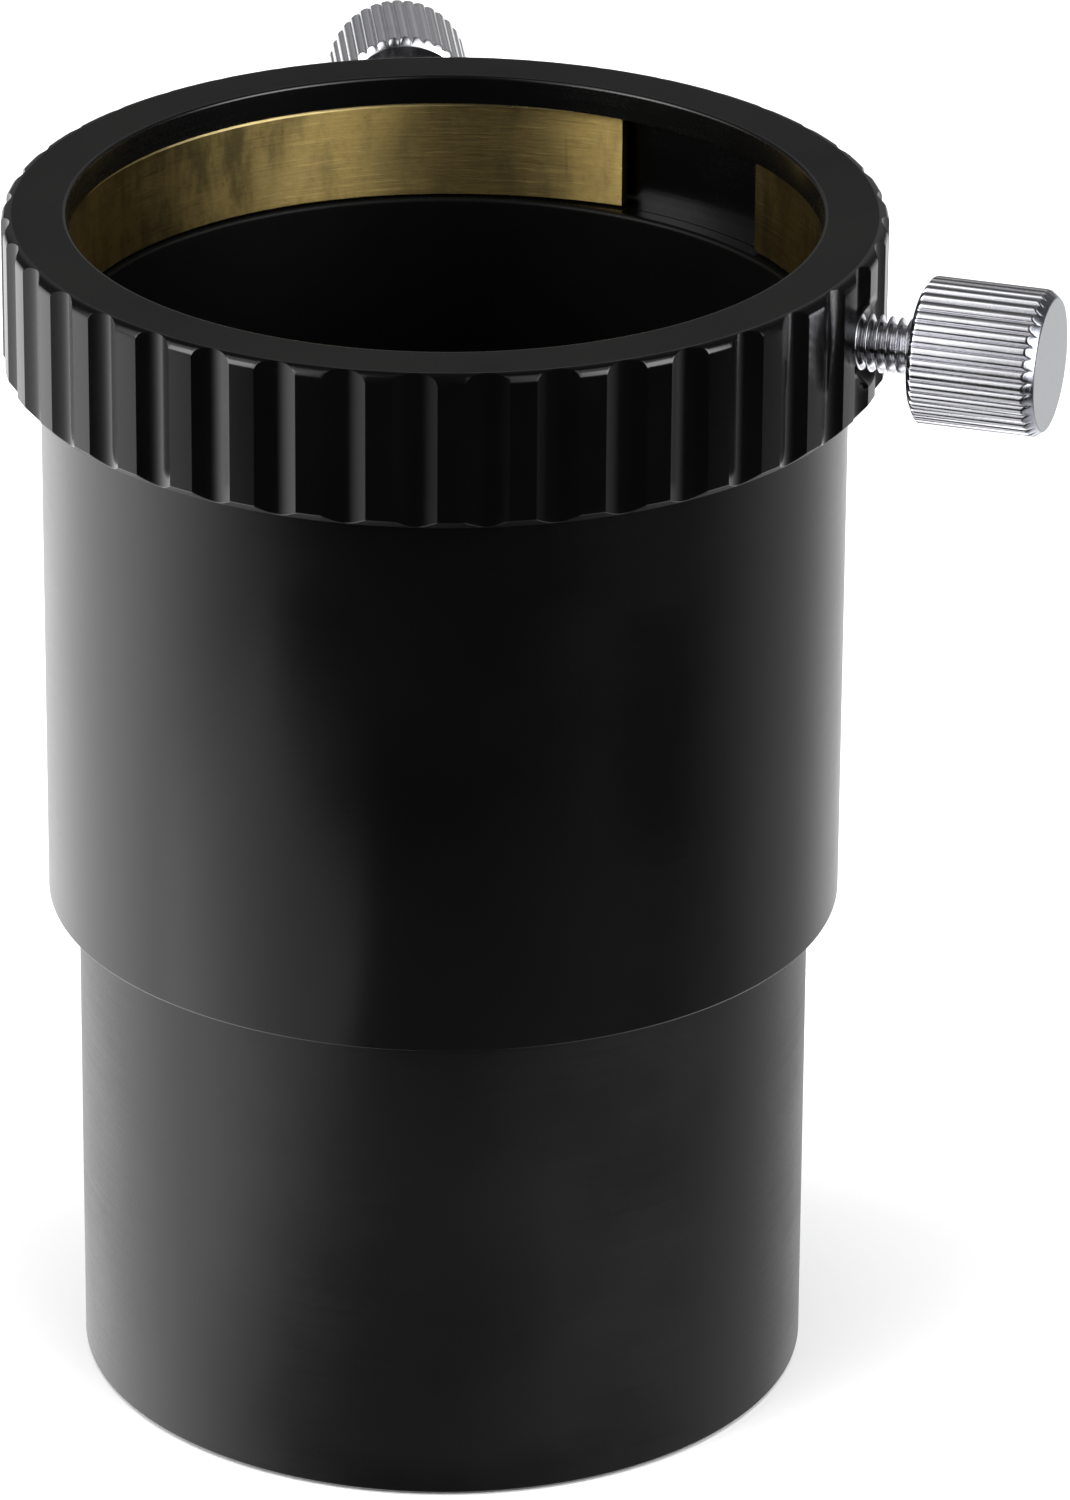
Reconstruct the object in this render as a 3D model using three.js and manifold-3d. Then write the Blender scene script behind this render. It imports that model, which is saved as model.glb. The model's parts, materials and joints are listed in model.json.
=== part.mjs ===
// A 50 mm extension tube for two-inch telescope eyepieces.
//
// From the bottom up: a smooth two-inch nosepiece that goes into the focuser, a plain tube, and a
// fluted clamp collar. The collar and the tube's end face close a groove round the bore, and a split
// brass ring floats in it. Two thumbscrews in the collar's wall press that ring on the eyepiece's
// barrel. Every piece is drawn about the tube's own axis, in millimetres with +Z up and Z = 0 at the
// nose end, and the whole is then moved sideways so that its footprint is centred on the origin.

import * as THREE from "three";
import { mergeVertices } from "three/addons/utils/BufferGeometryUtils.js";
import Module from "manifold-3d";

const wasm = await Module();
wasm.setup();

// Place of the tube's axis: the footprint, thumbscrews included, is centred on the origin.
const axisX = -5.85;
const axisY = -7.35;

// Gaps between pieces that are screwed together, and round the screws' studs.
const contactGap = 0.1;
const threadClearance = 0.08;

// Nosepiece: a two-inch barrel, open right through.
const noseRadius = 25.4;
const shoulderZ = 35.1;
const noseBoreRadius = 23;
const noseEdgeChamfer = 0.6;
const filterThreadRadius = 24;
const filterThreadDepth = 5.5;
const spigotRadius = 24;
const spigotLength = 6;

// Extension tube.
const extension = 50;
const tubeRadius = 27.5;
const socketRadius = 25.6;
const socketFloorZ = 42;
const tubeEdgeChamfer = 0.3;
const rimChamfer = 0.15;
const neckRadius = 27;

// Clamp collar with its flutes.
const collarTopZ = shoulderZ + extension;
const collarHeight = 10.9;
const collarBottomZ = collarTopZ - collarHeight;
const collarRadius = 30;
const topChamfer = 0.65;
const bottomChamfer = 0.5;
const fluteCount = 40;
const fluteDepth = 0.55;
const fluteShare = 0.6;
const landPhase = THREE.MathUtils.degToRad(0.8);

// Groove and split brass ring.
const grooveRadius = 28.2;
const grooveBottomZ = 75.95;
const grooveTopZ = 83.05;
const ringClearance = 0.15;
const ringInnerRadius = 25.9;
const ringThickness = 1;
const ringEndA = THREE.MathUtils.degToRad(63.5);
const ringEndB = THREE.MathUtils.degToRad(35.3);

// Thumbscrews: a knurled head on an M4 stud.
const screwZ = 79.2;
const studRadius = 1.95;
const studReach = 6.6;
const studInHead = 4;
const studEndGap = 0.3;
const studTipChamfer = 0.4;
const holeRadius = studRadius + threadClearance;
const headRadius = 5;
const headLength = 8.8;
const headInnerFaceRadius = 4.45;
const headInnerChamferLength = 0.4;
const headOuterFaceRadius = 4.5;
const headOuterChamferLength = 0.65;
const ribCount = 36;
const ribDepth = 0.28;
const screws = [
  { name: "side_screw", azimuth: THREE.MathUtils.degToRad(-18.1), headStart: 33.6 },
  { name: "rear_screw", azimuth: THREE.MathUtils.degToRad(94.6), headStart: 35.7 },
];

// Fineness of the round surfaces.
const turnedSegments = 80;
const ringSegments = 44;
const smallSegments = 24;
const arcSegments = 2;

// How far a cutting or trimming shape runs past the surface that it cuts.
const overrun = 1;

// Points closer than this are one point.
const weldDistance = 1e-5;

const finishes = {
  satinBlack: { color: 0x1c1c1d, roughness: 0.42, metalness: 0.5 },
  matteBlack: { color: 0x242425, roughness: 0.55, metalness: 0.4 },
  glossBlack: { color: 0x17171a, roughness: 0.25, metalness: 0.6 },
  brass: { color: 0xa88a45, roughness: 0.35, metalness: 1 },
  chrome: { color: 0xd8dadd, roughness: 0.15, metalness: 1 },
};

// A closed geometry as a manifold solid.
function toSolid(geometry) {
  geometry.deleteAttribute("normal");
  geometry.deleteAttribute("uv");
  const merged = mergeVertices(geometry, weldDistance);
  const mesh = new wasm.Mesh({
    numProp: 3,
    vertProperties: new Float32Array(merged.attributes.position.array),
    triVerts: new Uint32Array(merged.index.array),
  });
  return new wasm.Manifold(mesh);
}

// A manifold solid as a geometry again.
function toGeometry(solid) {
  const mesh = solid.getMesh();
  const geometry = new THREE.BufferGeometry();
  geometry.setAttribute("position", new THREE.BufferAttribute(mesh.vertProperties, 3));
  geometry.setIndex(new THREE.BufferAttribute(mesh.triVerts, 1));
  geometry.computeVertexNormals();
  return geometry;
}

// A turned solid about Z. The outline is a list of [radius, z], its outside met going up.
function turned(outline, segments = turnedSegments) {
  const onAxis = outline[0][0] === 0;
  const closed = onAxis ? outline : [...outline, outline[0]];
  const points = closed.map(([radius, z]) => new THREE.Vector2(radius, z));
  const geometry = new THREE.LatheGeometry(points, segments);
  geometry.rotateX(Math.PI / 2);
  return toSolid(geometry);
}

// A solid of one outline between two heights.
function extruded(shape, bottomZ, topZ, segments) {
  const settings = { depth: topZ - bottomZ, bevelEnabled: false, curveSegments: segments };
  const geometry = new THREE.ExtrudeGeometry(shape, settings);
  geometry.translate(0, 0, bottomZ);
  return toSolid(geometry);
}

// Centre distance and radius of the arc that leaves a circle of edgeRadius at plus and minus
// halfAngle and passes through midRadius halfway between.
function arcThrough(edgeRadius, halfAngle, midRadius) {
  const halfChord = edgeRadius * Math.sin(halfAngle);
  const rise = midRadius - edgeRadius * Math.cos(halfAngle);
  const radius = (halfChord ** 2 + rise ** 2) / (2 * Math.abs(rise));
  const centre = midRadius - Math.sign(rise) * radius;
  const sweep = Math.asin(halfChord / radius);
  return { centre, radius, sweep };
}

// Outline of the collar: flat lands with round-bottomed flutes between them.
function flutedShape() {
  const pitch = (2 * Math.PI) / fluteCount;
  const halfFlute = (pitch * fluteShare) / 2;
  const flute = arcThrough(collarRadius, halfFlute, collarRadius - fluteDepth);
  const shape = new THREE.Shape();
  for (let i = 0; i < fluteCount; i += 1) {
    const middle = landPhase + (i + 0.5) * pitch;
    const x = flute.centre * Math.cos(middle);
    const y = flute.centre * Math.sin(middle);
    const back = middle + Math.PI;
    shape.absarc(0, 0, collarRadius, middle - pitch + halfFlute, middle - halfFlute, false);
    shape.absarc(x, y, flute.radius, back + flute.sweep, back - flute.sweep, true);
  }
  return shape;
}

// Outline of a straight knurl: round ribs that meet in sharp valleys.
function knurledShape() {
  const pitch = (2 * Math.PI) / ribCount;
  const rib = arcThrough(headRadius - ribDepth, pitch / 2, headRadius);
  const shape = new THREE.Shape();
  for (let i = 0; i < ribCount; i += 1) {
    const middle = i * pitch;
    const x = rib.centre * Math.cos(middle);
    const y = rib.centre * Math.sin(middle);
    shape.absarc(x, y, rib.radius, middle - rib.sweep, middle + rib.sweep, false);
  }
  return shape;
}

function nosepiece() {
  const topZ = shoulderZ - contactGap;
  const spigot = spigotRadius - threadClearance;
  return turned([
    [filterThreadRadius, 0],
    [noseRadius - noseEdgeChamfer, 0],
    [noseRadius, noseEdgeChamfer],
    [noseRadius, topZ],
    [spigot, topZ],
    [spigot, shoulderZ + spigotLength],
    [noseBoreRadius, shoulderZ + spigotLength],
    [noseBoreRadius, filterThreadDepth],
    [filterThreadRadius, filterThreadDepth],
  ]);
}

function extensionTube() {
  const neckZ = collarBottomZ - contactGap;
  return turned([
    [spigotRadius, shoulderZ],
    [tubeRadius - tubeEdgeChamfer, shoulderZ],
    [tubeRadius, shoulderZ + tubeEdgeChamfer],
    [tubeRadius, neckZ],
    [neckRadius, neckZ],
    [neckRadius, grooveBottomZ],
    [socketRadius + rimChamfer, grooveBottomZ],
    [socketRadius, grooveBottomZ - rimChamfer],
    [socketRadius, socketFloorZ],
    [spigotRadius, socketFloorZ],
  ]);
}

// The collar's turned profile stands proud of the flutes' circle, so its sloping ends chamfer them.
function clampCollar() {
  const proudRadius = collarRadius + overrun;
  const skirtRadius = neckRadius + threadClearance;
  const profile = turned([
    [proudRadius, collarBottomZ + bottomChamfer + overrun],
    [proudRadius, collarTopZ - topChamfer - overrun],
    [collarRadius - topChamfer, collarTopZ],
    [socketRadius + rimChamfer, collarTopZ],
    [socketRadius, collarTopZ - rimChamfer],
    [socketRadius, grooveTopZ],
    [grooveRadius, grooveTopZ],
    [grooveRadius, grooveBottomZ],
    [skirtRadius, grooveBottomZ],
    [skirtRadius, collarBottomZ],
    [collarRadius - bottomChamfer, collarBottomZ],
  ]);
  const fluted = extruded(flutedShape(), collarBottomZ - overrun, collarTopZ + overrun, arcSegments);
  return screws.reduce((solid, screw) => solid.subtract(screwHole(screw)), profile.intersect(fluted));
}

function screwHole(screw) {
  const from = neckRadius;
  const to = collarRadius + overrun;
  const hole = new THREE.CylinderGeometry(holeRadius, holeRadius, to - from, smallSegments);
  hole.rotateZ(Math.PI / 2);
  hole.translate((from + to) / 2, 0, screwZ);
  hole.rotateZ(screw.azimuth);
  return toSolid(hole);
}

// The brass ring lies free in the groove, open for a few millimetres at one side.
function compressionRing() {
  const outerRadius = ringInnerRadius + ringThickness;
  const end = ringEndB + 2 * Math.PI;
  const shape = new THREE.Shape();
  shape.absarc(0, 0, outerRadius, ringEndA, end, false);
  shape.absarc(0, 0, ringInnerRadius, end, ringEndA, true);
  return extruded(shape, grooveBottomZ + ringClearance, grooveTopZ - ringClearance, ringSegments);
}

// Stud and head are drawn along +Z, outwards from the tube, with Z = 0 at the head's inner face.
function screwStud() {
  const end = studInHead - studEndGap;
  const outline = [
    [0, -studReach],
    [studRadius - studTipChamfer, -studReach],
    [studRadius, -studReach + studTipChamfer],
    [studRadius, end],
    [0, end],
  ];
  return turned(outline, smallSegments);
}

function screwHead() {
  const proudRadius = headRadius + overrun / 2;
  const innerSlope = headInnerChamferLength / (headRadius - headInnerFaceRadius);
  const outerSlope = headOuterChamferLength / (headRadius - headOuterFaceRadius);
  const blank = turned([
    [0, 0],
    [headInnerFaceRadius, 0],
    [proudRadius, innerSlope * (proudRadius - headInnerFaceRadius)],
    [proudRadius, headLength - outerSlope * (proudRadius - headOuterFaceRadius)],
    [headOuterFaceRadius, headLength],
    [0, headLength],
  ]);
  const knurled = extruded(knurledShape(), -overrun, headLength + overrun, arcSegments);
  const boreRadius = studRadius + threadClearance;
  const bore = turned(
    [
      [0, -overrun],
      [boreRadius, -overrun],
      [boreRadius, studInHead],
      [0, studInHead],
    ],
    smallSegments,
  );
  return blank.intersect(knurled).subtract(bore);
}

function named(name, solid, finish) {
  const mesh = new THREE.Mesh(toGeometry(solid), new THREE.MeshStandardMaterial(finish));
  mesh.name = name;
  return mesh;
}

// Turns a piece drawn along +Z so that it points away from the tube's axis at the screw's azimuth.
function placedOnCollar(mesh, screw) {
  mesh.rotation.y = Math.PI / 2;
  mesh.position.x = screw.headStart;
  const turn = new THREE.Group();
  turn.rotation.z = screw.azimuth;
  turn.position.z = screwZ;
  turn.add(mesh);
  return turn;
}

const group = new THREE.Group();
group.position.set(axisX, axisY, 0);
group.add(named("nosepiece", nosepiece(), finishes.matteBlack));
group.add(named("extension_tube", extensionTube(), finishes.satinBlack));
group.add(named("clamp_collar", clampCollar(), finishes.glossBlack));
group.add(named("compression_ring", compressionRing(), finishes.brass));
for (const screw of screws) {
  group.add(placedOnCollar(named(`${screw.name}_stud`, screwStud(), finishes.chrome), screw));
  group.add(placedOnCollar(named(`${screw.name}_head`, screwHead(), finishes.chrome), screw));
}

export default group;
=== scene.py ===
"""Looks of an extension tube for two-inch telescope eyepieces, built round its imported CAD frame.

Every visible CAD node is replaced by a finer piece of the same size. Shapes are worked out in
millimetres about their own axis: the tube's axis for the turned pieces, the screw's axis for a
thumbscrew. A piece's object stands on that axis, so its Object texture coordinates turn with it.
"""

import json
import math

import bpy
from mathutils import Matrix, Vector


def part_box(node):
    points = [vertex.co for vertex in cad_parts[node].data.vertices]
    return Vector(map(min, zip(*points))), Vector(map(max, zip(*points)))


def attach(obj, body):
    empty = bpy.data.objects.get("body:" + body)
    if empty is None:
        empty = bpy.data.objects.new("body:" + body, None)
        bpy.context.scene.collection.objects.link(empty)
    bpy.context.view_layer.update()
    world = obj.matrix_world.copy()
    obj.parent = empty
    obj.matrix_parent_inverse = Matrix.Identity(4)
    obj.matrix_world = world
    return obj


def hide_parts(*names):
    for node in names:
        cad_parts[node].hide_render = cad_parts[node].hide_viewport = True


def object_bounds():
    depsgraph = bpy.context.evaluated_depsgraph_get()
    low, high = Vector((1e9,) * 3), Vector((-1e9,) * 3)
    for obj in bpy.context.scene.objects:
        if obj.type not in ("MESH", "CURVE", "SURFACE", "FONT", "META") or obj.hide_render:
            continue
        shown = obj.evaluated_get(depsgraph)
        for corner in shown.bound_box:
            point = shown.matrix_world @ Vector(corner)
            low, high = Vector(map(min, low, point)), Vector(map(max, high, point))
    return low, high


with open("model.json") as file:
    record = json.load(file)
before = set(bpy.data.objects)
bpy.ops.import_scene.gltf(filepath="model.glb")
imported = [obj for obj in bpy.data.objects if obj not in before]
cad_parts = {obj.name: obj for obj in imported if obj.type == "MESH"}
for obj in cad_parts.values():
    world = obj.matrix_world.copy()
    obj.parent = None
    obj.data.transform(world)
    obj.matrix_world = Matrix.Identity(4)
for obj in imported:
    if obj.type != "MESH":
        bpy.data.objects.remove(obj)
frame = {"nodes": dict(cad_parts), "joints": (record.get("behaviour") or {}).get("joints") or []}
cad_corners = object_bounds()

MM = 0.001
UP = Vector((0, 0, 1))

# ---------------------------------------------------------------- places and sizes from the frame


def spans(node, origin, axis):
    """How far a CAD node reaches along an axis, low and high, and away from it, in millimetres."""
    offsets = [(vertex.co - origin) / MM for vertex in frame["nodes"][node].data.vertices]
    along = [offset.dot(axis) for offset in offsets]
    away = [(offset - axis * reach).length for offset, reach in zip(offsets, along)]
    return min(along), max(along), max(away)


def joint(name):
    return next(entry for entry in frame["joints"] if entry["name"] == name)


tube_low, tube_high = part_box("extension_tube")
TUBE_AXIS = Vector(((tube_low.x + tube_high.x) / 2, (tube_low.y + tube_high.y) / 2, 0))

NOSE_BOTTOM, SPIGOT_TOP, NOSE_RADIUS = spans("nosepiece", TUBE_AXIS, UP)
SHOULDER, NECK_TOP, TUBE_RADIUS = spans("extension_tube", TUBE_AXIS, UP)
COLLAR_BOTTOM, COLLAR_TOP, collar_reach = spans("clamp_collar", TUBE_AXIS, UP)
COLLAR_RADIUS = collar_reach - 0.002
RING_BOTTOM, RING_TOP, _ = spans("compression_ring", TUBE_AXIS, UP)

# ---------------------------------------------------------------- finer sizes, in millimetres

SEAM = 0.1
EDGE = 0.12

NOSE_BORE = 23.0
NOSE_CHAMFER = 0.3
SPIGOT = 23.92
FILTER_THREAD_RADIUS = 24.0
FILTER_THREAD_PITCH = 0.75
FILTER_THREAD_DEPTH = 0.4
FILTER_THREAD_TURNS = 6
FILTER_RECESS = 5.5

SOCKET_RADIUS = 25.6
SOCKET_FLOOR = 42.0
NECK_RADIUS = 27.0
TUBE_CHAMFER = 0.15
LIP_ROUNDING = 0.28

FLUTES = 40
FLUTE_DEPTH = 0.55
FLUTE_SHARE = 0.62
LAND_PHASE = math.radians(0.8)
FLUTE_ROUNDING = 0.7
FLUTE_STEPS = 8
WALL_ROWS = 16
TOP_FILLET = 0.65
BOTTOM_CHAMFER = 0.55
MOUTH_ROUNDING = 0.2
GROOVE_RADIUS = 28.2
GROOVE_MARGIN = 0.15
SKIRT_RADIUS = 27.08

RING_BORE = 25.9
RING_WALL = 0.8
RING_EDGE = 0.12
RING_END_A = math.radians(62.4)
RING_END_B = math.radians(395.3)
RING_FLARE_A = 0.82
RING_FLARE_B = 0.4
RING_FLARE_SPAN = math.radians(27)

THREAD_PITCH = 0.7
THREAD_DEPTH = 0.52
STUD_TIP = 0.45
HEAD_RADIUS = 5.0
HEAD_BORE = 2.03
HEAD_BORE_DEPTH = 4.0
HEAD_INNER_FACE = 4.45
HEAD_INNER_CHAMFER = 0.4
HEAD_OUTER_FACE = 4.5
HEAD_OUTER_CHAMFER = 0.65
RIBS = 36
RIB_DEPTH = 0.28
RIB_FULLNESS = 3.2
SCREW_HOLE = 2.03
COUNTERSINKS = {"side": 0.95, "rear": 0.3}
TIP_RELIEFS = {"side": 0.55, "rear": 0.0}

# ---------------------------------------------------------------- camera

CAMERA_PLACE = Vector((0.0, -578.43, 309.46))
CAMERA_AIM = Vector((6.318, 0.0, 44.892))
CAMERA_ROLL = math.radians(0.4186)
CAMERA_LENS = 220.08


def make_camera():
    camera = bpy.data.objects.new("camera", bpy.data.cameras.new("camera"))
    bpy.context.scene.collection.objects.link(camera)
    camera.data.lens = CAMERA_LENS
    camera.data.clip_start = 0.01
    camera.data.clip_end = 50
    turn = (CAMERA_AIM - CAMERA_PLACE).to_track_quat("-Z", "Y").to_matrix().to_4x4()
    place = Matrix.Translation(TUBE_AXIS + CAMERA_PLACE * MM)
    camera.matrix_world = place @ turn @ Matrix.Rotation(CAMERA_ROLL, 4, "Z")
    bpy.context.scene.camera = camera


# ---------------------------------------------------------------- lights, surroundings and floor


def make_softbox(name, place, aim, size, power, mirrored=False):
    light = bpy.data.lights.new(name, "AREA")
    light.shape = "RECTANGLE"
    light.size, light.size_y = size
    light.energy = power
    softbox = bpy.data.objects.new(name, light)
    softbox.matrix_world = (
        Matrix.Translation(place)
        @ (Vector(aim) - Vector(place)).to_track_quat("-Z", "Y").to_matrix().to_4x4()
    )
    softbox.visible_camera = False
    softbox.visible_glossy = mirrored
    bpy.context.scene.collection.objects.link(softbox)


def make_lights():
    """Softboxes for the matt tones. The metal mirrors only the tent and two pale cards that lie in
    front of the tube."""
    make_softbox("overhead_softbox", (0, -0.1, 1.7), (0, -0.1, 0), (1.7, 1.3), 30)
    make_softbox("left_softbox", (-1.5, 0.1, 0.7), (0, 0, 0.05), (0.9, 1.2), 9)
    make_softbox("right_softbox", (1.6, 0.3, 0.7), (0, 0, 0.05), (0.7, 1.0), 5)
    make_softbox("front_card", (-0.005, -0.08, 0.001), (-0.005, -0.08, 1), (0.2, 0.09), 0.0045, True)
    make_softbox("left_card", (-0.088, -0.075, 0.002), (-0.088, -0.075, 1), (0.09, 0.09), 0.0135, True)


def low_walls(graph, azimuth, height):
    """The tent's low walls, brightest at the left. The vertical walls of the object mirror them."""
    left = graph.sum(
        graph.span(azimuth, -38, -108, 0, 1.9),
        graph.span(azimuth, -135, -180, 0, -0.8),
    )
    right = graph.sum(
        graph.span(azimuth, 65, 120, 0, 0.5),
        graph.span(azimuth, 115, 150, 0, 0.45),
        graph.span(azimuth, 155, 180, 0, 0.15),
    )
    return graph.math("MULTIPLY", graph.sum(left, right), graph.span(height, 0.06, -0.2, 0.05, 1))


def high_walls(graph, azimuth, height):
    """The walls beside the dark opening, up to the tent's dark roof."""
    left = graph.band(azimuth, (-24, -38), (-90, -112), 1.5)
    right = graph.math(
        "MULTIPLY", graph.span(azimuth, 8, 22, 0, 1.3), graph.span(azimuth, 60, 95, 1, 0.06)
    )
    window = graph.math(
        "MULTIPLY", graph.span(height, -0.12, 0.12, 0, 1), graph.span(height, 0.85, 0.97, 1, 0.1)
    )
    return graph.math("MULTIPLY", graph.sum(left, right), window)


def glint_boxes(graph, azimuth, height):
    """Two bright boxes that give the glints on rounded edges."""
    left = graph.band(azimuth, (-36, -54), (-70, -86), 6.5)
    right = graph.band(azimuth, (24, 50), (68, 84), 7.0)
    strip = graph.band(height, (-0.14, -0.02), (0.5, 0.7))
    return graph.math("MULTIPLY", graph.sum(left, right), strip)


def back_wall(graph, away, height):
    wall = graph.math("MULTIPLY", graph.span(away, 140, 165, 0, 0.2), graph.span(height, 0.0, 0.2, 0, 1))
    return graph.math("MULTIPLY", wall, graph.span(height, 0.5, 0.7, 1, 0))


def tent_base(graph, away, height):
    """The pale ground of the tent, dim straight below and dark at the opening."""
    base = graph.math("MULTIPLY", graph.span(height, -0.56, -0.68, 0, 1.0), graph.span(away, 20, 45, 0, 1))
    return graph.math("MULTIPLY", base, graph.span(height, -0.96, -0.8, 0.12, 1))


def make_surroundings():
    """Pale walls for the eye, and a light tent for what the metal mirrors.

    The tent is open and dark at the front, where azimuth is 0. Azimuth is in degrees and grows to
    the viewer's right. Height is the sine of the elevation."""
    world = bpy.data.worlds.new("light_tent")
    bpy.context.scene.world = world
    world.use_nodes = True
    graph = Graph(world.node_tree)
    graph.tree.nodes.clear()
    direction = graph.add("ShaderNodeTexCoord").outputs["Generated"]
    axes = graph.add("ShaderNodeSeparateXYZ", {"Vector": direction}).outputs
    facing = graph.math("ARCTAN2", axes["X"], graph.math("MULTIPLY", axes["Y"], -1.0))
    azimuth = graph.math("MULTIPLY", facing, 180 / math.pi)
    away = graph.math("ABSOLUTE", azimuth)
    height = axes["Z"]
    glow = graph.sum(
        low_walls(graph, azimuth, height),
        high_walls(graph, azimuth, height),
        glint_boxes(graph, azimuth, height),
        back_wall(graph, away, height),
        tent_base(graph, away, height),
    )
    mirrored = graph.add("ShaderNodeBackground", {"Color": (1, 1, 1, 1), "Strength": glow})
    seen = graph.add("ShaderNodeBackground", {"Color": (0.93, 0.93, 0.93, 1), "Strength": 1.0})
    eye = graph.add("ShaderNodeLightPath").outputs["Is Camera Ray"]
    shown = graph.add("ShaderNodeMixShader", {"Fac": eye})
    graph.link(mirrored.outputs[0], shown.inputs[1])
    graph.link(seen.outputs[0], shown.inputs[2])
    output = graph.add("ShaderNodeOutputWorld")
    graph.link(shown.outputs[0], output.inputs["Surface"])


def make_floor():
    half = 4.0
    height = cad_corners[0].z
    corners = [(-half, -half, height), (half, -half, height), (half, half, height), (-half, half, height)]
    mesh = bpy.data.meshes.new("floor")
    mesh.from_pydata(corners, [], [(0, 1, 2, 3)])
    floor = bpy.data.objects.new("floor", mesh)
    bpy.context.scene.collection.objects.link(floor)
    floor.data.materials.append(floor_material())
    floor.visible_glossy = False


# ---------------------------------------------------------------- materials


class Graph:
    """Short names for making the nodes of one tree."""

    def __init__(self, tree):
        self.tree = tree

    def link(self, source, target):
        self.tree.links.new(source, target)

    def add(self, kind, values=None, **settings):
        node = self.tree.nodes.new(kind)
        for key, value in settings.items():
            setattr(node, key, value)
        for key, value in (values or {}).items():
            self.put(value, node.inputs[key])
        return node

    def put(self, value, socket):
        if isinstance(value, bpy.types.NodeSocket):
            self.link(value, socket)
        else:
            socket.default_value = value

    def math(self, operation, first, second=0.0):
        node = self.add("ShaderNodeMath", operation=operation)
        self.put(first, node.inputs[0])
        self.put(second, node.inputs[1])
        return node.outputs[0]

    def sum(self, first, *others):
        for other in others:
            first = self.math("ADD", first, other)
        return first

    def span(self, value, from_low, from_high, to_low, to_high):
        """value carried smoothly from one range to another and held at its ends."""
        node = self.add("ShaderNodeMapRange", interpolation_type="SMOOTHSTEP")
        numbers = (value, from_low, from_high, to_low, to_high)
        for key, number in zip(("Value", "From Min", "From Max", "To Min", "To Max"), numbers):
            self.put(number, node.inputs[key])
        return node.outputs[0]

    def band(self, value, rise, fall, strength=1.0):
        """A strength that eases in over the span rise and out again over the span fall."""
        return self.math("MULTIPLY", self.span(value, *rise, 0, strength), self.span(value, *fall, 1, 0))

    def tint(self, share, first, second):
        """A colour between two colours."""
        node = self.add("ShaderNodeMix", data_type="RGBA")
        self.put(share, node.inputs[0])
        self.put(first, node.inputs[6])
        self.put(second, node.inputs[7])
        return node.outputs[2]

    def noise(self, place, stretch, detail=2.0, roughness=0.5):
        """Noise with stretch cells a metre along each axis, from 0 to 1."""
        scaled = self.add("ShaderNodeVectorMath", operation="MULTIPLY")
        self.put(place, scaled.inputs[0])
        scaled.inputs[1].default_value = stretch
        values = {"Vector": scaled.outputs[0], "Scale": 1.0, "Detail": detail, "Roughness": roughness}
        return self.add("ShaderNodeTexNoise", values).outputs["Fac"]

    def bump(self, height, distance, strength=1.0, under=None):
        values = {"Height": height, "Distance": distance, "Strength": strength}
        if under is not None:
            values["Normal"] = under
        return self.add("ShaderNodeBump", values).outputs["Normal"]


def surface(name, **values):
    """A material with one Principled shader. Returns it with its graph and shader."""
    material = bpy.data.materials.new(name)
    material.use_nodes = True
    graph = Graph(material.node_tree)
    shader = next(node for node in graph.tree.nodes if node.type == "BSDF_PRINCIPLED")
    for key, value in values.items():
        shader.inputs[key.replace("_", " ")].default_value = value
    place = graph.add("ShaderNodeTexCoord").outputs["Object"]
    return material, graph, shader, place


def grey(value, warmth=0.0):
    return (value * (1 + warmth), value, value * (1 - warmth), 1)


def anodised(name, tone, roughness, spread, grain, turning, specular=0.5):
    """Black anodised aluminium. Turning marks run round the piece, and a fine grain lies over them."""
    material, graph, shader, place = surface(name, Specular_IOR_Level=specular, IOR=1.5)
    cloud = graph.noise(place, (70, 70, 70), detail=4.0, roughness=0.6)
    fine = graph.noise(place, (5200, 5200, 5200), detail=2.0)
    marks = graph.noise(place, (45, 45, 5200), detail=3.0, roughness=0.7)
    dust = graph.noise(place, (3300, 3300, 3300), detail=1.0)
    speck = graph.span(dust, 0.8, 0.84, 0, 1)
    colour = graph.tint(cloud, grey(tone * 0.72, -0.02), grey(tone * 1.3, 0.03))
    colour = graph.tint(graph.math("MULTIPLY", speck, 0.25), colour, grey(tone * 4 + 0.01))
    graph.put(colour, shader.inputs["Base Color"])
    uneven = graph.math("ADD", graph.span(cloud, 0.3, 0.7, -spread, spread), roughness)
    uneven = graph.math("ADD", uneven, graph.span(fine, 0.25, 0.75, -spread * 0.7, spread * 0.7))
    uneven = graph.math("ADD", uneven, graph.span(marks, 0.25, 0.75, -spread * 0.6, spread * 0.6))
    graph.put(uneven, shader.inputs["Roughness"])
    normal = graph.bump(marks, turning)
    normal = graph.bump(fine, grain, under=normal)
    graph.put(normal, shader.inputs["Normal"])
    return material


def brass_painted_shade(graph, place, cloud, stains):
    """Painted shade on the brass, from 0 to 1: one long stretch, and the short free end, where the ring
    looks shaded and mirrors dark surroundings.
    """
    parts = graph.add("ShaderNodeSeparateXYZ", {"Vector": place}).outputs
    sweep = graph.math("MULTIPLY", graph.math("ARCTAN2", parts["Y"], parts["X"]), 180 / math.pi)
    sweep = graph.math("ADD", sweep, graph.span(cloud, 0.2, 0.8, -9, 9))
    # Painted shade: the long stretch and the short free end are darkened by angle round the ring.
    long_end = graph.math(
        "MULTIPLY", graph.span(sweep, 97, 124, 0, 0.82), graph.span(sweep, 135, 172, 1, 0.5)
    )
    short_end = graph.math("MULTIPLY", graph.span(sweep, 52, 40, 0, 0.72), graph.span(sweep, -90, -70, 0, 1))
    painted_shade = graph.math("ADD", long_end, short_end)
    return graph.math("MULTIPLY", painted_shade, graph.span(stains, 0.3, 0.65, 0.88, 1.08))


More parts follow.
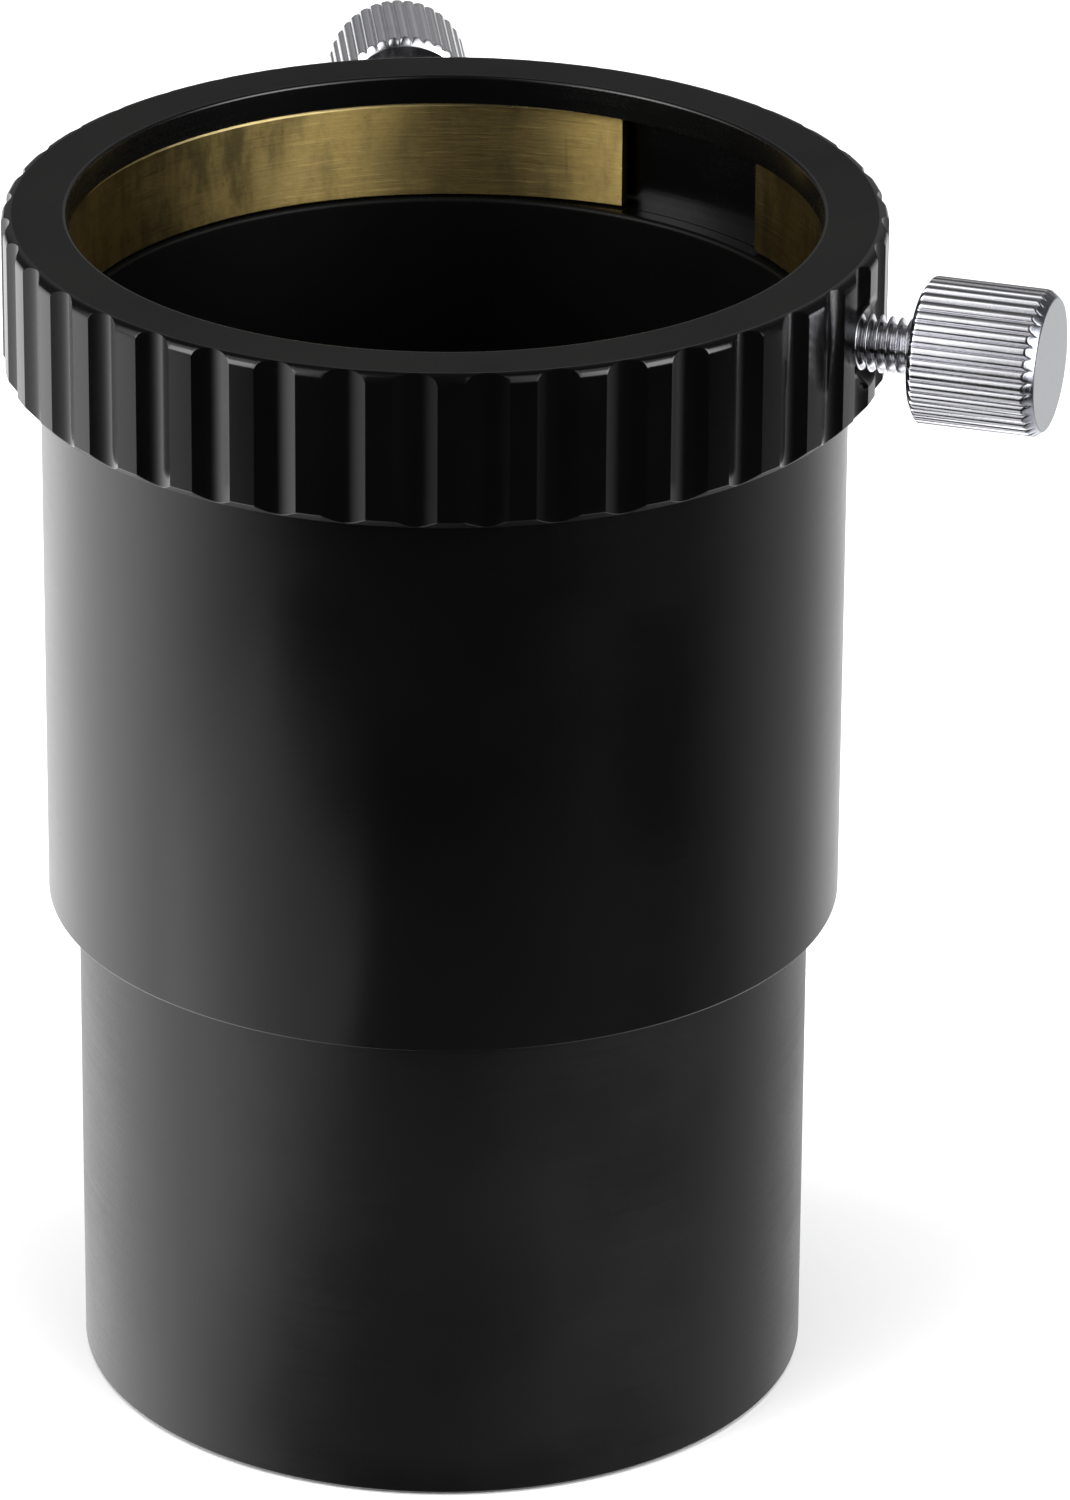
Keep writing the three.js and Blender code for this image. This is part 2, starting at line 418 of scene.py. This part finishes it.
def brass_material():
    """Bare brass, brushed round the ring, with stains, stray scratches, painted shade along two stretches
    and a painted highlight along the top edge.
    """
    material, graph, shader, place = surface(
        "brushed_brass", Metallic=1.0, Anisotropic=0.85, Anisotropic_Rotation=0.25
    )
    tangent = graph.add("ShaderNodeTangent", direction_type="RADIAL", axis="Z").outputs[0]
    graph.put(tangent, shader.inputs["Tangent"])
    brushing = graph.noise(place, (150, 150, 9000), detail=4.0, roughness=0.75)
    strokes = graph.noise(place, (260, 260, 5200), detail=3.0, roughness=0.7)
    cloud = graph.noise(place, (90, 90, 60), detail=3.0, roughness=0.5)
    mottle = graph.noise(place, (1900, 1900, 2600), detail=4.0, roughness=0.7)
    scratch = graph.noise(place, (1500, 1500, 150), detail=1.0)
    stains = graph.noise(place, (520, 520, 190), detail=4.0, roughness=0.6)
    height = graph.add("ShaderNodeSeparateXYZ", {"Vector": place}).outputs["Z"]
    # Painted highlight: a mask for a thin bright band just under the ring's top edge.
    rim = graph.span(height, (RING_TOP - 0.2) * MM, (RING_TOP - 0.12) * MM, 0, 0.7)

    clean = graph.span(cloud, 0.3, 0.6, 0.25, 1)
    colour = graph.tint(clean, (0.26, 0.2, 0.085, 1), (0.50, 0.365, 0.125, 1))
    colour = graph.tint(graph.span(mottle, 0.5, 0.75, 0, 0.4), colour, (0.22, 0.165, 0.065, 1))
    colour = graph.tint(graph.span(strokes, 0.5, 0.75, 0, 0.6), colour, (0.66, 0.50, 0.19, 1))
    colour = graph.tint(graph.span(brushing, 0.5, 0.3, 0, 0.45), colour, (0.2, 0.145, 0.05, 1))
    colour = graph.tint(graph.span(scratch, 0.73, 0.8, 0, 0.25), colour, (0.16, 0.12, 0.05, 1))
    colour = graph.tint(graph.span(stains, 0.48, 0.75, 0, 0.45), colour, (0.12, 0.1, 0.05, 1))
    # Painted shade: the base colour turns nearly black along the ring's shaded stretches.
    colour = graph.tint(brass_painted_shade(graph, place, cloud, stains), colour, (0.012, 0.011, 0.006, 1))
    # Painted highlight: the base colour turns bright pale brass along the top edge.
    colour = graph.tint(rim, colour, (0.9, 0.74, 0.36, 1))
    graph.put(colour, shader.inputs["Base Color"])

    roughness = graph.math(
        "ADD", graph.span(mottle, 0.3, 0.7, 0.5, 0.58), graph.span(brushing, 0.3, 0.7, -0.06, 0.06)
    )
    graph.put(roughness, shader.inputs["Roughness"])
    normal = graph.bump(strokes, 0.00002)
    normal = graph.bump(brushing, 0.00002, under=normal)
    graph.put(normal, shader.inputs["Normal"])
    return material


def chrome_material(name, colour, roughness, waviness):
    """Bright plating over rolled metal: faint clouds, and a slight unevenness in the mirror."""
    material, graph, shader, place = surface(name, Metallic=1.0)
    cloud = graph.noise(place, (420, 420, 420), detail=3.0)
    pits = graph.noise(place, (3800, 3800, 1500), detail=2.0)
    grime = graph.span(cloud, 0.5, 0.78, 0, 0.16)
    shade = tuple(part * 0.55 for part in colour[:3]) + (1,)
    graph.put(graph.tint(grime, colour, shade), shader.inputs["Base Color"])
    rough = graph.math("ADD", graph.span(cloud, 0.3, 0.7, -0.2 * roughness, 0.2 * roughness), roughness)
    rough = graph.math("ADD", rough, graph.span(pits, 0.3, 0.7, -0.12 * roughness, 0.12 * roughness))
    graph.put(rough, shader.inputs["Roughness"])
    graph.put(graph.bump(pits, waviness), shader.inputs["Normal"])
    return material


def faced_metal_material(name, axis):
    """The plated end face of a thumbscrew, with fine rings left by facing it about its axis."""
    material, graph, shader, place = surface(name, Metallic=1.0)
    sideways = graph.add("ShaderNodeVectorMath", operation="CROSS_PRODUCT")
    graph.put(place, sideways.inputs[0])
    sideways.inputs[1].default_value = axis
    across = graph.add("ShaderNodeVectorMath", operation="LENGTH")
    graph.link(sideways.outputs["Vector"], across.inputs[0])
    rings = graph.math("SINE", graph.math("MULTIPLY", across.outputs["Value"], 52000.0))
    cloud = graph.noise(place, (650, 650, 650), detail=4.0)
    fine = graph.noise(place, (6500, 6500, 6500), detail=2.0)
    colour = graph.tint(cloud, (0.54, 0.55, 0.57, 1), (0.66, 0.67, 0.69, 1))
    graph.put(colour, shader.inputs["Base Color"])
    graph.put(graph.span(cloud, 0.3, 0.7, 0.42, 0.52), shader.inputs["Roughness"])
    normal = graph.bump(rings, 0.0000012)
    graph.put(graph.bump(fine, 0.000006, under=normal), shader.inputs["Normal"])
    return material


def floor_material():
    material, graph, shader, place = surface("pale_floor", Specular_IOR_Level=0.2)
    cloud = graph.noise(place, (9, 9, 9), detail=2.0)
    graph.put(graph.tint(cloud, (0.86, 0.86, 0.86, 1), (0.88, 0.88, 0.88, 1)), shader.inputs["Base Color"])
    graph.put(graph.span(cloud, 0, 1, 0.75, 0.85), shader.inputs["Roughness"])
    return material


# ---------------------------------------------------------------- mesh helpers


def rounded(corners, steps=4):
    """A closed outline with rounded corners, as [(radius, z, slot), ...].

    A corner is (radius, z, rounding, slot), and slot is the finish of the side that follows it. A
    point close to each end of a rounding keeps the flat beside it flat in the shading."""
    outline = []
    count = len(corners)
    for index, (radius, z, rounding, slot) in enumerate(corners):
        here = Vector((radius, z))
        to_last = Vector(corners[index - 1][:2]) - here
        to_next = Vector(corners[(index + 1) % count][:2]) - here
        if rounding == 0:
            outline.append((here, slot))
            continue
        half = to_last.angle(to_next) / 2
        setback = rounding / math.tan(half)
        start = to_last.normalized() * setback
        end = to_next.normalized() * setback
        middle = (to_last.normalized() + to_next.normalized()).normalized() * (rounding / math.sin(half))
        outline.append((here + start * 1.3, slot))
        for step in range(steps + 1):
            outline.append((here + bend(start - middle, end - middle, step / steps) + middle, slot))
        outline.append((here + end * 1.3, slot))
    return [(point.x, point.y, slot) for point, slot in outline]


def bend(first, last, share):
    """A vector turned part of the way from one vector to another of the same length."""
    angle = math.atan2(first.cross(last), first.dot(last)) * share
    cosine, sine = math.cos(angle), math.sin(angle)
    return Vector((first.x * cosine - first.y * sine, first.x * sine + first.y * cosine))


def skin(name, columns, slots, materials, closed=True, poles=(), sharp=30):
    """A mesh from columns of points side by side, each in millimetres.

    Without poles every column is a loop, and with poles it runs from one pole to the other. An open
    row of looped columns is capped at both ends."""
    count = len(columns[0])
    points = [Vector(point) * MM for column in columns for point in column]
    faces = []
    face_slots = []
    pairs = len(columns) if closed else len(columns) - 1
    rows = count - 1 if poles else count
    for left in range(pairs):
        right = (left + 1) % len(columns)
        for low in range(rows):
            high = (low + 1) % count
            near = (left * count + low, right * count + low)
            far = (right * count + high, left * count + high)
            faces.append(near + far)
            face_slots.append(slots[low])
        if poles:
            first = len(points)
            faces.append((first, right * count, left * count))
            faces.append((left * count + count - 1, right * count + count - 1, first + 1))
            face_slots += [slots[0], slots[-1]]
    if not closed:
        faces.append(tuple(range(count)))
        faces.append(tuple(len(points) - 1 - index for index in range(count)))
        face_slots += [slots[0], slots[0]]
    points += [Vector(pole) * MM for pole in poles]
    mesh = bpy.data.meshes.new(name)
    mesh.from_pydata(points, [], faces)
    mesh.polygons.foreach_set("material_index", face_slots)
    mesh.shade_smooth()
    mesh.set_sharp_from_angle(angle=math.radians(sharp))
    for material in materials:
        mesh.materials.append(material)
    piece = bpy.data.objects.new(name, mesh)
    bpy.context.scene.collection.objects.link(piece)
    return piece


def turned(name, outline, materials, segments=256):
    """A piece turned about its own Z from a closed outline of (radius, z, slot)."""
    columns = []
    for index in range(segments):
        angle = 2 * math.pi * index / segments
        cosine, sine = math.cos(angle), math.sin(angle)
        columns.append([(radius * cosine, radius * sine, z) for radius, z, _ in outline])
    return skin(name, columns, [slot for _, _, slot in outline], materials)


def settle(piece, place, node, body):
    """Puts a finished piece in the place of its CAD node."""
    piece.matrix_world = place
    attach(piece, body)
    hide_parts(node)


# ---------------------------------------------------------------- turned pieces


def filter_thread():
    """Ridges of the filter thread, met going down the wall."""
    corners = []
    for turn in range(FILTER_THREAD_TURNS):
        top = FILTER_RECESS - FILTER_THREAD_PITCH * (turn + 0.5)
        corners.append((FILTER_THREAD_RADIUS, top, 0, 1))
        corners.append((FILTER_THREAD_RADIUS - FILTER_THREAD_DEPTH, top - 0.3, 0, 1))
        corners.append((FILTER_THREAD_RADIUS - FILTER_THREAD_DEPTH, top - 0.4, 0, 1))
        corners.append((FILTER_THREAD_RADIUS, top - 0.7, 0, 1))
    return corners


def make_nosepiece(finishes):
    top = SHOULDER - SEAM
    corners = [
        (FILTER_THREAD_RADIUS, NOSE_BOTTOM, EDGE, 0),
        (NOSE_RADIUS - NOSE_CHAMFER, NOSE_BOTTOM, EDGE, 1),
        (NOSE_RADIUS, NOSE_BOTTOM + NOSE_CHAMFER, 0.1, 0),
        (NOSE_RADIUS, top, 0.04, 0),
        (SPIGOT, top, 0, 1),
        (SPIGOT, SPIGOT_TOP, EDGE, 1),
        (NOSE_BORE, SPIGOT_TOP, EDGE, 1),
        (NOSE_BORE, FILTER_RECESS, EDGE, 1),
        (FILTER_THREAD_RADIUS, FILTER_RECESS, 0, 1),
    ]
    return turned("nosepiece_barrel", rounded(corners + filter_thread()), finishes)


def make_tube(finishes):
    neck = COLLAR_BOTTOM - SEAM
    corners = [
        (FILTER_THREAD_RADIUS, SHOULDER, 0, 0),
        (TUBE_RADIUS - TUBE_CHAMFER, SHOULDER, 0.04, 0),
        (TUBE_RADIUS, SHOULDER + TUBE_CHAMFER, 0.1, 0),
        (TUBE_RADIUS, neck, EDGE, 0),
        (NECK_RADIUS, neck, 0, 0),
        (NECK_RADIUS, NECK_TOP, 0.05, 2),
        (SOCKET_RADIUS, NECK_TOP, LIP_ROUNDING, 1),
        (SOCKET_RADIUS, SOCKET_FLOOR, 0, 1),
        (FILTER_THREAD_RADIUS, SOCKET_FLOOR, EDGE, 1),
    ]
    return turned("extension_tube_wall", rounded(corners), finishes)


def fluted_plan():
    """Plan points of one land and the flute after it, as (angle, radius). A flute has a rounded
    bottom between flatter walls, and meets the lands in crisp edges."""
    pitch = 2 * math.pi / FLUTES
    half_flute = pitch * FLUTE_SHARE / 2
    half_land = pitch / 2 - half_flute
    rim = math.hypot(1, FLUTE_ROUNDING)
    points = [(half_land * share, COLLAR_RADIUS) for share in (-0.94, -0.5, 0, 0.5, 0.94)]
    for step in range(-FLUTE_STEPS, FLUTE_STEPS + 1):
        share = step / FLUTE_STEPS
        depth = FLUTE_DEPTH * (rim - math.hypot(share, FLUTE_ROUNDING)) / (rim - FLUTE_ROUNDING)
        points.append((pitch / 2 + half_flute * share, COLLAR_RADIUS - depth))
    return points


def collar_column(wall):
    """Profile of the collar where its flutes leave the wall at one radius, as (radius, z, slot)."""
    shelf = COLLAR_RADIUS - TOP_FILLET
    foot = COLLAR_RADIUS - BOTTOM_CHAMFER - 0.06
    groove_top = RING_TOP + GROOVE_MARGIN
    groove_bottom = RING_BOTTOM - GROOVE_MARGIN
    inside = rounded([
        (shelf - 1.2, COLLAR_TOP, 0, 1),
        (SOCKET_RADIUS, COLLAR_TOP, MOUTH_ROUNDING, 2),
        (SOCKET_RADIUS, groove_top, 0.06, 2),
        (GROOVE_RADIUS, groove_top, 0, 2),
        (GROOVE_RADIUS, groove_bottom, 0, 2),
        (SKIRT_RADIUS, groove_bottom, 0, 2),
        (SKIRT_RADIUS, COLLAR_BOTTOM, 0.05, 1),
        (foot - 1.0, COLLAR_BOTTOM, 0, 1),
    ])
    lean = math.asin((wall - shelf) / TOP_FILLET)
    steps = 6
    fillet = [lean * (1 - step / steps) for step in range(steps + 1)]
    start = COLLAR_TOP - TOP_FILLET * (1 - math.cos(lean))
    chamfer_top = COLLAR_BOTTOM + (wall - foot)
    outside = [
        (foot - 0.05, COLLAR_BOTTOM, 3),
        (foot, COLLAR_BOTTOM, 3),
        (foot + 0.03, COLLAR_BOTTOM + 0.01, 3),
        (wall - 0.02, chamfer_top - 0.03, 0),
        (wall, chamfer_top + 0.02, 0),
        (wall, chamfer_top + 0.08, 0),
    ]
    tall = start - 0.1 - chamfer_top - 0.08
    outside += [
        (wall, chamfer_top + 0.08 + tall * row / WALL_ROWS, 0) for row in range(1, WALL_ROWS + 1)
    ]
    outside += [
        (shelf + TOP_FILLET * math.sin(turn), COLLAR_TOP - TOP_FILLET * (1 - math.cos(turn)), 0)
        for turn in fillet
    ]
    outside += [(shelf - 0.05, COLLAR_TOP, 1)]
    return outside + inside


def make_collar(finishes):
    columns = []
    for flute in range(FLUTES):
        for turn, wall in fluted_plan():
            angle = LAND_PHASE + 2 * math.pi * flute / FLUTES + turn
            cosine, sine = math.cos(angle), math.sin(angle)
            columns.append([(radius * cosine, radius * sine, z) for radius, z, _ in collar_column(wall)])
    slots = [slot for _, _, slot in collar_column(COLLAR_RADIUS)]
    return skin("clamp_collar_fluted", columns, slots, finishes, sharp=25)


def pierce(piece, name, finish):
    """Bores a thumbscrew's hole through the collar wall, with a countersink at its mouth."""
    origin, _, lay = screw_axis(name)
    wall = COLLAR_RADIUS - (origin - TUBE_AXIS).xy.length / MM
    countersink = COUNTERSINKS[name]
    profile = [
        (SCREW_HOLE, wall - 5),
        (SCREW_HOLE, wall - countersink),
        (SCREW_HOLE + countersink + 0.5, wall + 0.5),
    ]
    sides = 64
    columns = []
    for index in range(sides):
        angle = 2 * math.pi * index / sides
        columns.append([(radius * math.cos(angle), radius * math.sin(angle), z) for radius, z in profile])
    ends = ((0, 0, profile[0][1]), (0, 0, profile[-1][1]))
    drill = skin(f"{name}_drill", columns, [0] * len(profile), [finish], poles=ends)
    drill.matrix_world = Matrix.Translation(origin) @ lay
    cut = piece.modifiers.new("bore", "BOOLEAN")
    cut.operation = "DIFFERENCE"
    cut.solver = "EXACT"
    cut.object = drill
    bpy.context.view_layer.update()
    solid = piece.evaluated_get(bpy.context.evaluated_depsgraph_get())
    bored = bpy.data.meshes.new_from_object(solid)
    piece.modifiers.clear()
    piece.data = bored
    bpy.data.objects.remove(drill)


# ---------------------------------------------------------------- brass ring


def ring_flare(angle):
    """How far the ring stands out of round: its two free ends spring outwards."""
    near_a = max(0.0, 1 - (angle - RING_END_A) / RING_FLARE_SPAN)
    near_b = max(0.0, 1 - (RING_END_B - angle) / RING_FLARE_SPAN)
    return RING_FLARE_A * near_a**1.5 + RING_FLARE_B * near_b**1.5


def make_ring(finishes):
    section = rounded([
        (0, RING_BOTTOM, RING_EDGE, 0),
        (RING_WALL, RING_BOTTOM, RING_EDGE, 0),
        (RING_WALL, RING_TOP, RING_EDGE, 0),
        (0, RING_TOP, RING_EDGE, 0),
    ], steps=3)
    count = 320
    columns = []
    for index in range(count + 1):
        angle = RING_END_A + (RING_END_B - RING_END_A) * index / count
        bore = RING_BORE + ring_flare(angle)
        cosine, sine = math.cos(angle), math.sin(angle)
        columns.append([((bore + out) * cosine, (bore + out) * sine, z) for out, z, _ in section])
    return skin("compression_ring_band", columns, [slot for _, _, slot in section], finishes, closed=False)


# ---------------------------------------------------------------- thumbscrews


def thread_radius(crest, turn, place, low):
    """Radius of a right-hand thread at one turn about its axis and one place along it."""
    phase = (place / THREAD_PITCH - turn / (2 * math.pi)) % 1
    slope = abs(phase - 0.5) * 2
    height = min(1.0, max(0.0, (slope - 0.14) / 0.72))
    eased = height * height * (3 - 2 * height)
    tip = crest - STUD_TIP + (place - low)
    return min(crest - THREAD_DEPTH * (0.6 * height + 0.4 * eased), tip)


def make_stud(name, low, high, crest, finishes):
    turns = 48
    steps = math.ceil((high - low) / (THREAD_PITCH / 16))
    columns = []
    for index in range(turns):
        turn = 2 * math.pi * index / turns
        column = []
        for step in range(steps + 1):
            place = low + (high - low) * step / steps
            radius = thread_radius(crest, turn, place, low)
            column.append((radius * math.cos(turn), radius * math.sin(turn), place))
        columns.append(column)
    slots = [0] * (steps + 1)
    return skin(name, columns, slots, finishes, poles=((0, 0, low), (0, 0, high)), sharp=75)


def ribbed_plan(radius):
    """Plan points of one rib, as (angle, radius), from one valley up to the next."""
    pitch = 2 * math.pi / RIBS
    shares = (-1, -0.9, -0.78, -0.62, -0.4, -0.15, 0.15, 0.4, 0.62, 0.78, 0.9)
    return [(share * pitch / 2, radius - RIB_DEPTH * abs(share) ** RIB_FULLNESS) for share in shares]


def head_column(wall, length):
    """Profile of a knurled head where its ribs leave the wall at one radius."""
    inner_start = HEAD_INNER_CHAMFER * (wall - HEAD_INNER_FACE) / (HEAD_RADIUS - HEAD_INNER_FACE)
    outer_start = length - HEAD_OUTER_CHAMFER * (wall - HEAD_OUTER_FACE) / (HEAD_RADIUS - HEAD_OUTER_FACE)
    return [
        (HEAD_BORE, HEAD_BORE_DEPTH, 0),
        (HEAD_BORE, 0.12, 0),
        (HEAD_BORE + 0.12, 0, 1),
        (HEAD_BORE + 0.2, 0, 1),
        (HEAD_INNER_FACE - 0.1, 0, 1),
        (HEAD_INNER_FACE - 0.02, 0.01, 0),
        (HEAD_INNER_FACE + 0.05, 0.06, 0),
        (wall - 0.04, inner_start - 0.03, 0),
        (wall, inner_start + 0.05, 0),
        (wall, inner_start + 0.15, 0),
        (wall, outer_start - 0.2, 0),
        (wall - 0.01, outer_start - 0.06, 0),
        (wall - 0.05, outer_start + 0.04, 3),
        (HEAD_OUTER_FACE + 0.06, length - 0.08, 3),
        (HEAD_OUTER_FACE, length - 0.025, 3),
        (HEAD_OUTER_FACE - 0.08, length, 2),
        (HEAD_OUTER_FACE - 0.16, length, 2),
        (0.5, length, 2),
    ]


def make_head(name, length, radius, finishes):
    columns = []
    for rib in range(RIBS):
        for turn, wall in ribbed_plan(radius):
            angle = 2 * math.pi * rib / RIBS + turn
            cosine, sine = math.cos(angle), math.sin(angle)
            columns.append([(out * cosine, out * sine, z) for out, z, _ in head_column(wall, length)])
    slots = [slot for _, _, slot in head_column(radius, length)]
    poles = ((0, 0, HEAD_BORE_DEPTH), (0, 0, length))
    return skin(name, columns, slots, finishes, poles=poles, sharp=50)


def screw_axis(name):
    """Middle of a thumbscrew head's inner face, the outward direction, and the turn that lays Z
    along that direction."""
    turn = joint(f"{name}_screw_turn")
    outward = Vector(turn["axis"])
    return Vector(turn["pos_m"]), outward, outward.to_track_quat("Z", "Y").to_matrix().to_4x4()


def make_screw(name, plating, inner_face, chamfer):
    """A thumbscrew's stud and head. Their meshes are laid along the axis, so that their boxes stay
    as tight as the CAD's. A relieved tip stops short of the ring's sprung ends."""
    origin, outward, lay = screw_axis(name)
    finishes = [plating, inner_face, faced_metal_material(f"{name}_faced_plating", outward), chamfer]
    low, high, crest = spans(f"{name}_screw_stud", origin, outward)
    _, length, radius = spans(f"{name}_screw_head", origin, outward)
    stud = make_stud(f"{name}_screw_thread", low + TIP_RELIEFS[name], high, crest, finishes)
    head = make_head(f"{name}_screw_knob", length, radius, finishes)
    place = Matrix.Translation(origin)
    for piece, part in ((stud, "stud"), (head, "head")):
        piece.data.transform(lay)
        settle(piece, place, f"{name}_screw_{part}", f"{name}_{part}")


# ---------------------------------------------------------------- the whole


make_camera()
make_lights()
make_surroundings()
make_floor()

tube_satin = anodised(
    "tube_satin_black", tone=0.0012, roughness=0.21, spread=0.02, grain=3e-6, turning=1.2e-6
)
nose_matt = anodised(
    "nose_matt_black", tone=0.0022, roughness=0.34, spread=0.03, grain=4e-6, turning=1.5e-6, specular=0.4
)
flute_gloss = anodised(
    "flute_gloss_black", tone=0.0011, roughness=0.16, spread=0.02, grain=1.5e-6, turning=1e-6, specular=0.36
)
face_satin = anodised(
    "face_satin_black", tone=0.0095, roughness=0.4, spread=0.03, grain=5e-6, turning=0.0, specular=0.006
)
bore_matt = anodised(
    "bore_matt_black", tone=0.0012, roughness=0.45, spread=0.04, grain=6e-6, turning=5e-6, specular=0.12
)
groove_gloss = anodised(
    "groove_black", tone=0.0012, roughness=0.26, spread=0.03, grain=3e-6, turning=6e-6, specular=0.4
)
brass = brass_material()
chrome = chrome_material("bright_plating", (0.84, 0.84, 0.88, 1), roughness=0.2, waviness=0.4e-6)
inner_face = chrome_material("inner_face_plating", (0.70, 0.71, 0.74, 1), roughness=0.2, waviness=1.5e-6)
chamfer_plating = chrome_material("chamfer_plating", (0.33, 0.34, 0.38, 1), roughness=0.26, waviness=1.5e-6)

on_axis = Matrix.Translation(TUBE_AXIS)
settle(make_nosepiece([nose_matt, bore_matt]), on_axis, "nosepiece", "barrel")
settle(make_tube([tube_satin, bore_matt, groove_gloss]), on_axis, "extension_tube", "barrel")

collar = make_collar([flute_gloss, face_satin, groove_gloss, bore_matt])
collar.matrix_world = on_axis
for screw in ("side", "rear"):
    pierce(collar, screw, flute_gloss)
settle(collar, on_axis, "clamp_collar", "barrel")

settle(make_ring([brass]), on_axis, "compression_ring", "ring")
for screw in ("side", "rear"):
    make_screw(screw, chrome, inner_face, chamfer_plating)

bpy.context.scene.view_settings.view_transform = "Standard"
